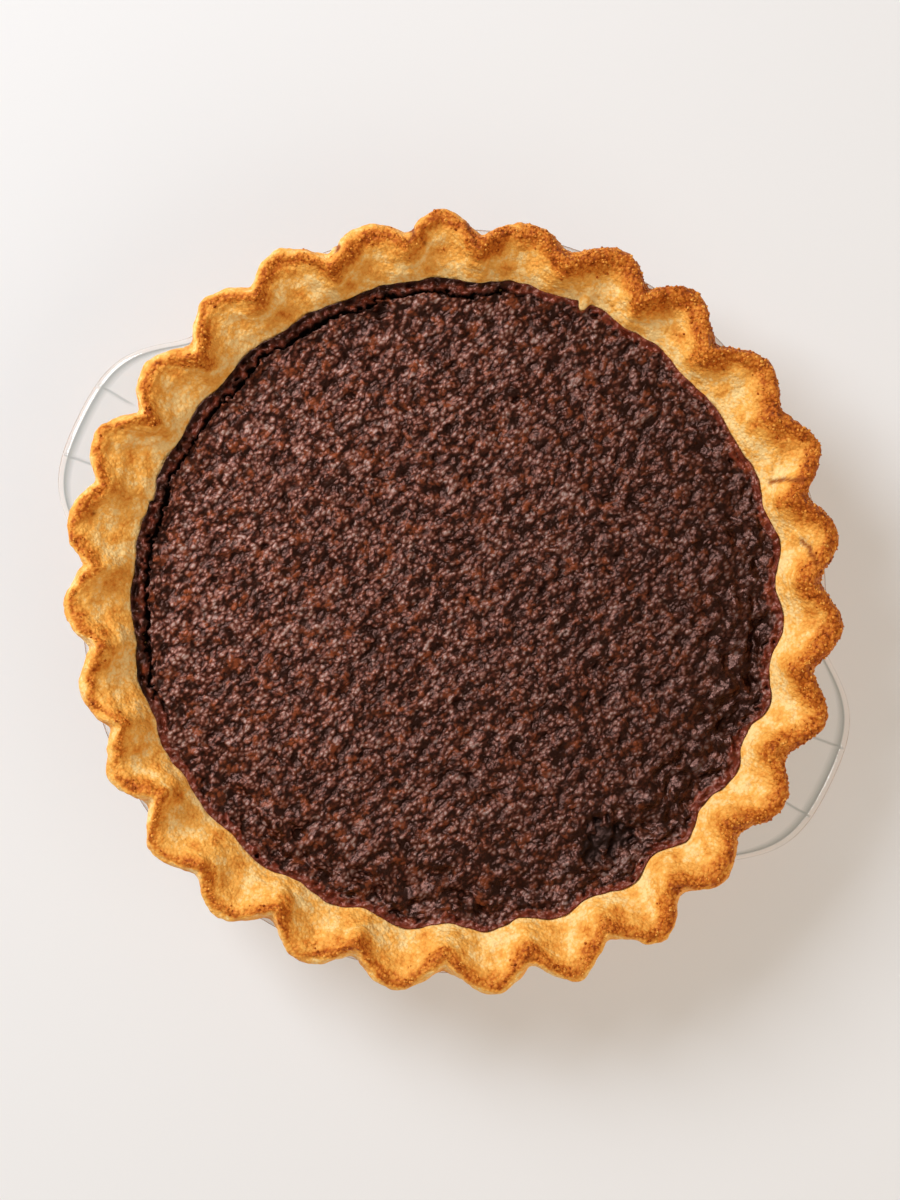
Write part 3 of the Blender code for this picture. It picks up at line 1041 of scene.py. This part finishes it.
def in_crack(direction):
    """1 where the ledge has torn away from the top, falling to 0 past the crack's ends."""
    span_angle = (CRACK_TO - CRACK_FROM) % math.tau
    along_it = (direction - CRACK_FROM) % math.tau
    if along_it > span_angle:
        return 0
    return smooth(min(along_it, span_angle - along_it) / CRACK_FADE)


def facing_view(direction, degrees, spread):
    """1 in a direction named by its angle in the view, falling to 0 a spread away."""
    off = (direction - math.radians(degrees) - VIEW_TURN + math.pi) % math.tau - math.pi
    return smooth(1 - abs(off) / math.radians(spread))


coarse_step = (NOMINAL_FILL - FINE_RINGS * FINE_STEP) / (RINGS - FINE_RINGS)
ring_radii = [coarse_step * min(k, RINGS - FINE_RINGS) for k in range(RINGS + 1)]
for k in range(RINGS - FINE_RINGS + 1, RINGS + 1):
    ring_radii[k] += FINE_STEP * (k - (RINGS - FINE_RINGS))

top_points, ledge_mark, pit_mark, scorch_mark, painted_shade_mark, gloss_mark = [], [], [], [], [], []
for k in range(RINGS + 1):
    count = max(1, 6 * k)
    for j in range(count):
        direction = math.tau * j / count
        edge = fill_edge(direction)
        radius = ring_radii[k] / NOMINAL_FILL * edge
        inset = edge - radius
        spot = Vector((radius * math.cos(direction), radius * math.sin(direction), 0))
        crack_here = in_crack(direction)
        # The crack wanders in and out with sharp corners, as brittle skin breaks.
        wander = WANDER_REACH * abs(noise.noise(spot / WANDER_SIZE))
        wander += TOOTH_REACH * abs(noise.noise(spot / TOOTH_SIZE))
        wander += CHIP_REACH * noise.noise(spot / CHIP_SIZE) - WANDER_MEAN
        dried_last = (s * facing_view(direction, at, spread) for s, at, spread in DRIED_LAST)
        late = max(*dried_last, LEAST_DRIED)
        width = 0.0014 + 0.0018 * crack_here + 0.0013 * late + 0.0019 * noise.noise(spot / 0.013)
        past_ledge = inset + wander - width
        swell = SWELL * noise.noise(spot / SWELL_SPACING) * smooth(inset / SINK_WIDTH)
        sink = LEDGE_DROP * smooth(past_ledge / LEDGE_DROP)
        sink += (TOP_SINK - LEDGE_DROP) * smooth(past_ledge / SINK_WIDTH)
        gape = CRACK_HALF_WIDTH * (0.45 + 1.9 * abs(noise.noise(spot / WANDER_SIZE)))
        pit = crack_here * smooth(1.4 - abs(past_ledge - gape) / gape)
        ledge = smooth(1 - past_ledge / 0.0005)
        # Wrinkles run along the edge, deepest on the side where the top dried last.
        wrinkly = smooth(past_ledge / 0.003) * smooth(1 - (inset - 0.014) / 0.016)
        folded = Vector((direction * WRINKLES_AROUND, inset / WRINKLE_SIZE, 3.0))
        folded += noise.noise_vector(spot / 0.010) * 1.1
        wrinkle = WRINKLE_RELIEF * noise.noise(folded) * wrinkly * late
        lump = LUMP_RELIEF * noise.noise(spot / LUMP_SIZE) * (0.60 + 0.40 * wrinkly * late)
        warped = spot + noise.noise_vector(spot / 0.0040) * 0.0009
        along_row = warped.x * math.cos(GRAIN_TURN) + warped.y * math.sin(GRAIN_TURN)
        over_rows = warped.y * math.cos(GRAIN_TURN) - warped.x * math.sin(GRAIN_TURN)
        row = noise.noise(Vector((along_row / ROW_LONG, over_rows / ROW_WIDE, 8)))
        cells = noise.voronoi(Vector((along_row / PEBBLE_LONG, over_rows / PEBBLE_WIDE, 2)))[0]
        pebble = max(0.0, 1 - 1.7 * cells[0] ** 2)
        grit = noise.noise(Vector((along_row / GRIT_LONG, over_rows / GRIT_WIDE, 5)))
        grainy = ROW_RELIEF * row + PEBBLE_RELIEF * (pebble - 0.6) + GRIT_RELIEF * grit
        grainy *= 1 - 0.6 * wrinkly * late
        rough = 0.00200 * noise.noise(spot / 0.0021) + 0.0010 * noise.noise(spot / 0.0042)
        rough *= smooth(inset / 0.0014)
        # The skin curls up a little on both sides of where it broke.
        curl = 0.0006 * crack_here * smooth(1.3 - abs(past_ledge - 2 * gape - 0.0005) / 0.0008)
        curl += 0.0008 * crack_here * smooth(1.3 - abs(past_ledge + 0.0007) / 0.0009)
        height_now = FILL_HEIGHT + TOP_RISE + swell + curl - sink - CRACK_DEPTH * pit
        height_now += (wrinkle + lump + grainy) * smooth(past_ledge / 0.001) + rough * ledge
        # The batter climbed a little where it touches the pastry.
        climb = smooth(1 - inset / 0.0016) * (0.0006 + 0.0007 * noise.noise(spot / 0.005))
        top_points.append((spot.x, spot.y, height_now + climb))
        ledge_mark.append(ledge)
        pit_mark.append(pit)
        scorch_mark.append(0.0)
        # Painted shade: hollows between the pebbles are painted dark, and so is the ledge behind the
        # crack, as painted shadow of the pastry wall. The whole top is painted darker away from its
        # lit side, and the wrinkled band by the edge is darker too.
        hollow_shade = 0.85 * smooth((0.44 - pebble) / 0.45 - 1.1 * row - 0.6 * grit)
        hollow_shade += 0.66 * (0.5 - 0.5 * radius / edge * math.cos(direction - PAINTED_LIT_SIDE)) - 0.08
        hollow_shade += 0.25 * wrinkly * late
        # Painted shadow: next to the pastry the ledge is painted darkest, and lighter knobs break it
        # up.
        near_crust = smooth(1.6 - inset / 0.0016)
        knobs = 1.3 * noise.noise(spot / 0.0024 + Vector((3, 5, 1)))
        wall_shadow_on_ledge = crack_here * (0.45 + 0.55 * near_crust - knobs * (1 - 0.6 * near_crust))
        painted_shade_mark.append(min(max(hollow_shade * (1 - ledge) + wall_shadow_on_ledge * ledge, 0), 1))
        gloss_mark.append(max(wrinkly * late, 0.5 * ledge))

# The scorched spots: a sugar bubble that burst and burned near the edge, with a smaller one on
# each side. Each is ((direction in the view in degrees, distance from the middle), size).
SCORCHES = (((-57.5, 0.0945), 0.0064), ((-61.0, 0.0958), 0.0048), ((-54.6, 0.0962), 0.0046))
SCORCH_DEPTH = 0.0012
SCORCH_FRAY = 0.0022
for (view_degrees, away_from_middle), size in SCORCHES:
    scorch_turn = math.radians(view_degrees) + VIEW_TURN
    scorch_middle = Vector((math.cos(scorch_turn), math.sin(scorch_turn))) * away_from_middle
    for index, (x, y, z) in enumerate(top_points):
        away = (Vector((x, y)) - scorch_middle).length / size
        if away < 1.5:
            frayed = 0.8 * noise.noise(Vector((x, y, 0)) / SCORCH_FRAY)
            burn = smooth(2.6 * (1.1 - away + frayed))
            if burn > scorch_mark[index]:
                sunk = (SCORCH_DEPTH + frayed / 1000) * (burn - scorch_mark[index])
                top_points[index] = (x, y, z - sunk)
                scorch_mark[index] = burn

# Ring k has 6k points, and triangles join it to the ring inside it.
first_of = [0] + [1 + 3 * k * (k - 1) for k in range(1, RINGS + 1)]
top_faces = []
for k in range(1, RINGS + 1):
    outer_count, inner_count = 6 * k, max(1, 6 * (k - 1))
    for side_index in range(6):
        for j in range(k):
            o = side_index * k + j
            n = side_index * (k - 1) + j if k > 1 else 0
            a = first_of[k] + o
            b = first_of[k] + (o + 1) % outer_count
            c = first_of[k - 1] + n % inner_count
            top_faces.append((a, b, c))
            if j < k - 1:
                top_faces.append((b, first_of[k - 1] + (n + 1) % inner_count, c))

# Under its skin the custard fills the pastry's bowl.
bowl_depth = PASTRY - INTO_PASTRY
foot_side = nested((FOOT_RADIUS, GLASS), bowl_depth)
wall_out = foot_side[0] + (PLAIN_WALL_HEIGHT - foot_side[1]) / math.tan(WALL_SLOPE)
side_line = [(wall_out, PLAIN_WALL_HEIGHT)] + bowl_profile(bowl_depth, 4)[:4][::-1]
rim_count = 6 * RINGS
ring_start = first_of[RINGS]
for r, z in side_line:
    next_start = len(top_points)
    for j in range(rim_count):
        direction = math.tau * j / rim_count
        top_points.append((r * math.cos(direction), r * math.sin(direction), z))
    for j in range(rim_count):
        after = (j + 1) % rim_count
        top_faces.append((ring_start + j, next_start + j, next_start + after, ring_start + after))
    ring_start = next_start
top_points.append((0, 0, side_line[-1][1]))
for j in range(rim_count):
    top_faces.append((len(top_points) - 1, ring_start + (j + 1) % rim_count, ring_start + j))

filling_mesh = bpy.data.meshes.new("chocolate_filling")
filling_mesh.from_pydata(top_points, [], top_faces)
top_marks = {
    "ledge": ledge_mark,
    "pit": pit_mark,
    "scorch": scorch_mark,
    "shade": painted_shade_mark,
    "gloss": gloss_mark,
}
store_marks(filling_mesh, top_marks)
face_outwards(filling_mesh)
chocolate_filling = in_scene("chocolate_filling", filling_mesh)

# Baked chocolate custard: dark cocoa brown with foxy patches where sugar came up, under a thin
# dry skin of pebbles of 1 to 2 mm that catches the window with a soft, dusty sheen.
baked_chocolate, cocoa, cocoa_shader = new_material(
    "baked_chocolate_custard",
    {"Specular IOR Level": 0.55, "Specular Tint": linear("#ffbfae")},
)
spots = add(cocoa, "ShaderNodeTexCoord").outputs["Object"]
ledge_fac, pit_fac, scorch_fac, painted_shade_fac, gloss_fac = (
    add(cocoa, "ShaderNodeAttribute", {"attribute_name": mark}).outputs["Fac"] for mark in top_marks
)
# The small pebbles are about 1.5 mm wide and 2 mm long, and lie in slanting rows.
slanted = add(
    cocoa,
    "ShaderNodeMapping",
    {"vector_type": "TEXTURE"},
    {"Vector": spots, "Rotation": (0, 0, GRAIN_TURN), "Scale": (1.4, 1.0, 1.0)},
)
bends = add(
    cocoa,
    "ShaderNodeTexNoise",
    None,
    {"Vector": slanted.outputs[0], "Scale": 380.0, "Detail": 2.0, "Roughness": 0.5},
)
bent_spots = add(
    cocoa,
    "ShaderNodeVectorMath",
    {"operation": "MULTIPLY_ADD"},
    {0: bends.outputs["Color"], 1: (0.0015, 0.0015, 0.0015), 2: slanted.outputs[0]},
)
pebbles = add(
    cocoa,
    "ShaderNodeTexVoronoi",
    {"feature": "SMOOTH_F1"},
    {"Vector": bent_spots.outputs[0], "Scale": 680.0, "Smoothness": 0.25, "Randomness": 1.0},
)
ripples = add(
    cocoa,
    "ShaderNodeTexNoise",
    None,
    {"Vector": slanted.outputs[0], "Scale": 620.0, "Detail": 4.0, "Roughness": 0.6},
)
patches = add(
    cocoa,
    "ShaderNodeTexNoise",
    None,
    {"Vector": spots, "Scale": 165.0, "Detail": 5.0, "Roughness": 0.68},
)
clouds = add(
    cocoa,
    "ShaderNodeTexNoise",
    None,
    {"Vector": slanted.outputs[0], "Scale": 150.0, "Detail": 6.0, "Roughness": 0.7},
)
# Painted highlight and painted shade: a pebble's top is painted palest and the crevice round it
# nearly black.
cloudy = add(
    cocoa, MATHS, {"operation": "MULTIPLY_ADD"}, {0: clouds.outputs[0], 1: -1.2, 2: 0.60}
)
depth = add(cocoa, MATHS, {"operation": "ADD"}, {0: pebbles.outputs[0], 1: cloudy.outputs[0]})
cocoa_with_painted_light = add(cocoa, "ShaderNodeValToRGB", None, {0: depth.outputs[0]})
set_ramp(
    cocoa_with_painted_light.color_ramp,
    [
        (0.12, linear("#b9998e")),
        (0.28, linear("#936556")),
        (0.44, linear("#673528")),
        (0.60, linear("#38150b")),
        (0.78, linear("#160501")),
    ],
)
foxy_spread = add(
    cocoa,
    "ShaderNodeMapRange",
    {"interpolation_type": "SMOOTHSTEP"},
    {"Value": patches.outputs[0], "From Min": 0.52, "From Max": 0.61, "To Max": 1.0},
)
on_pebble = add(
    cocoa,
    "ShaderNodeMapRange",
    None,
    {"Value": depth.outputs[0], "From Min": 0.35, "From Max": 0.70, "To Min": 1.0, "To Max": 0.25},
)
foxy_amount = add(
    cocoa, MATHS, {"operation": "MULTIPLY"}, {0: foxy_spread.outputs[0], 1: on_pebble.outputs[0]}
)
mottled = add(
    cocoa,
    "ShaderNodeMapRange",
    None,
    {
        "Value": ripples.outputs[0],
        "From Min": 0.36,
        "From Max": 0.62,
        "To Min": 0.20,
        "To Max": 0.90,
    },
)
on_ledge = add(cocoa, MATHS, {"operation": "MULTIPLY"}, {0: ledge_fac, 1: mottled.outputs[0]})
# One over the other: foxy patches, the ledge's red brown, painted shade in the hollows, on the ledge
# and on one side, the crack painted near black as painted shade, and the scorch.
colour = cocoa_with_painted_light.outputs[0]
for amount, coat in (
    (foxy_amount.outputs[0], "#8f4523"),
    (on_ledge.outputs[0], "#722d1c"),
    (painted_shade_fac, "#1a0702"),
    (pit_fac, "#080301"),
    (scorch_fac, "#030201"),
):
    over = add(
        cocoa, "ShaderNodeMix", {"data_type": "RGBA"}, {0: amount, 6: colour, 7: linear(coat)}
    )
    colour = over.outputs[2]
cocoa.links.new(colour, cocoa_shader.inputs["Base Color"])
shine = add(
    cocoa,
    "ShaderNodeMapRange",
    None,
    {"Value": gloss_fac, "From Min": 0.0, "From Max": 0.9, "To Min": 0.33, "To Max": 0.23},
)
charred = add(cocoa, MATHS, {"operation": "MULTIPLY"}, {0: scorch_fac, 1: 0.45})
dull_places = add(cocoa, MATHS, {"operation": "MAXIMUM"}, {0: pit_fac, 1: charred.outputs[0]})
dulled = add(
    cocoa,
    MATHS,
    {"operation": "MULTIPLY_ADD"},
    {0: dull_places.outputs[0], 1: 0.5, 2: shine.outputs[0]},
)
cocoa.links.new(dulled.outputs[0], cocoa_shader.inputs["Roughness"])
pebble_top = add(cocoa, MATHS, {"operation": "SUBTRACT"}, {0: 1.0, 1: pebbles.outputs[0]})
evenness = add(
    cocoa,
    "ShaderNodeMapRange",
    None,
    {"Value": gloss_fac, "From Min": 0.0, "From Max": 0.9, "To Min": 1.0, "To Max": 0.25},
)
pebble_bump = add(
    cocoa,
    "ShaderNodeBump",
    None,
    {"Strength": evenness.outputs[0], "Distance": 0.0006, "Height": pebble_top.outputs[0]},
)
ripple_bump = add(
    cocoa,
    "ShaderNodeBump",
    None,
    {
        "Strength": 0.7,
        "Distance": 0.0007,
        "Height": ripples.outputs[0],
        "Normal": pebble_bump.outputs[0],
    },
)
cocoa.links.new(ripple_bump.outputs[0], cocoa_shader.inputs["Normal"])
filling_mesh.materials.append(baked_chocolate)
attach(chocolate_filling, "root")
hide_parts("filling")


# ---- Crumbs on the crests
# Grains of butter, flour and sugar that stand up and brown on the crests of the pinched edge.
# They are part of the pastry, so they share its material and are set half into it.
CRUMB_SIZES = {
    "Crumbs Per Square Metre": 420000.0,
    "Smallest": 0.00020,
    "Largest": 0.00062,
    "Palest": 0.25,
    "Brownest": 0.75,
    "Seed": 5,
}
strewn, given = new_tree("crumbs_on_crests", "Pastry", CRUMB_SIZES, "Crumb", "Crumbs")
mark = add(strewn, "GeometryNodeInputNamedAttribute", {"data_type": "FLOAT"}, {"Name": "browned"})
share = add(
    strewn,
    "ShaderNodeMapRange",
    {"interpolation_type": "SMOOTHSTEP"},
    {"Value": mark.outputs[0], "From Min": 0.28, "From Max": 0.62},
)
thick = add(
    strewn,
    MATHS,
    {"operation": "MULTIPLY"},
    {0: share.outputs[0], 1: given["Crumbs Per Square Metre"]},
)
cast = add(
    strewn,
    "GeometryNodeDistributePointsOnFaces",
    {"distribute_method": "RANDOM"},
    {"Mesh": given["Pastry"], "Density": thick.outputs[0], "Seed": given["Seed"]},
)
toast = add(
    strewn,
    "FunctionNodeRandomValue",
    {"data_type": "FLOAT"},
    {2: given["Palest"], 3: given["Brownest"], "Seed": 7},
)
stored = add(
    strewn,
    "GeometryNodeStoreNamedAttribute",
    {"data_type": "FLOAT", "domain": "POINT"},
    {"Geometry": cast.outputs[0], "Name": "browned", "Value": toast.outputs[1]},
)
kernel = add(strewn, "GeometryNodeMeshIcoSphere", None, {"Radius": 1.0, "Subdivisions": 1})
spin = add(
    strewn,
    "FunctionNodeRandomValue",
    {"data_type": "FLOAT_VECTOR"},
    {0: (0, 0, 0), 1: (math.tau, math.tau, math.tau), "Seed": 3},
)
big = add(
    strewn,
    "FunctionNodeRandomValue",
    {"data_type": "FLOAT"},
    {2: given["Smallest"], 3: given["Largest"], "Seed": 4},
)
uneven = add(
    strewn,
    "FunctionNodeRandomValue",
    {"data_type": "FLOAT_VECTOR"},
    {0: (0.7, 0.7, 0.6), 1: (1.3, 1.2, 1.0), "Seed": 6},
)
sized = add(
    strewn,
    "ShaderNodeVectorMath",
    {"operation": "SCALE"},
    {0: uneven.outputs[0], "Scale": big.outputs[1]},
)
set_out = add(
    strewn,
    "GeometryNodeInstanceOnPoints",
    None,
    {
        "Points": stored.outputs[0],
        "Instance": kernel.outputs[0],
        "Rotation": spin.outputs[0],
        "Scale": sized.outputs[0],
    },
)
end_tree(strewn, set_out.outputs[0], given["Crumb"])

crust_crumbs = in_scene("crust_crumbs", pie_crust.data.copy())
run_tree(strewn, crust_crumbs, {**CRUMB_SIZES, "Crumb": baked_pastry})
# The outermost crumbs are rubbed off level with the crust.
low, high = cad_box
for vertex in crust_crumbs.data.vertices:
    vertex.co.z = min(vertex.co.z, high[2])
    vertex.co.y = min(max(vertex.co.y, low[1]), high[1])
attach(crust_crumbs, "root")
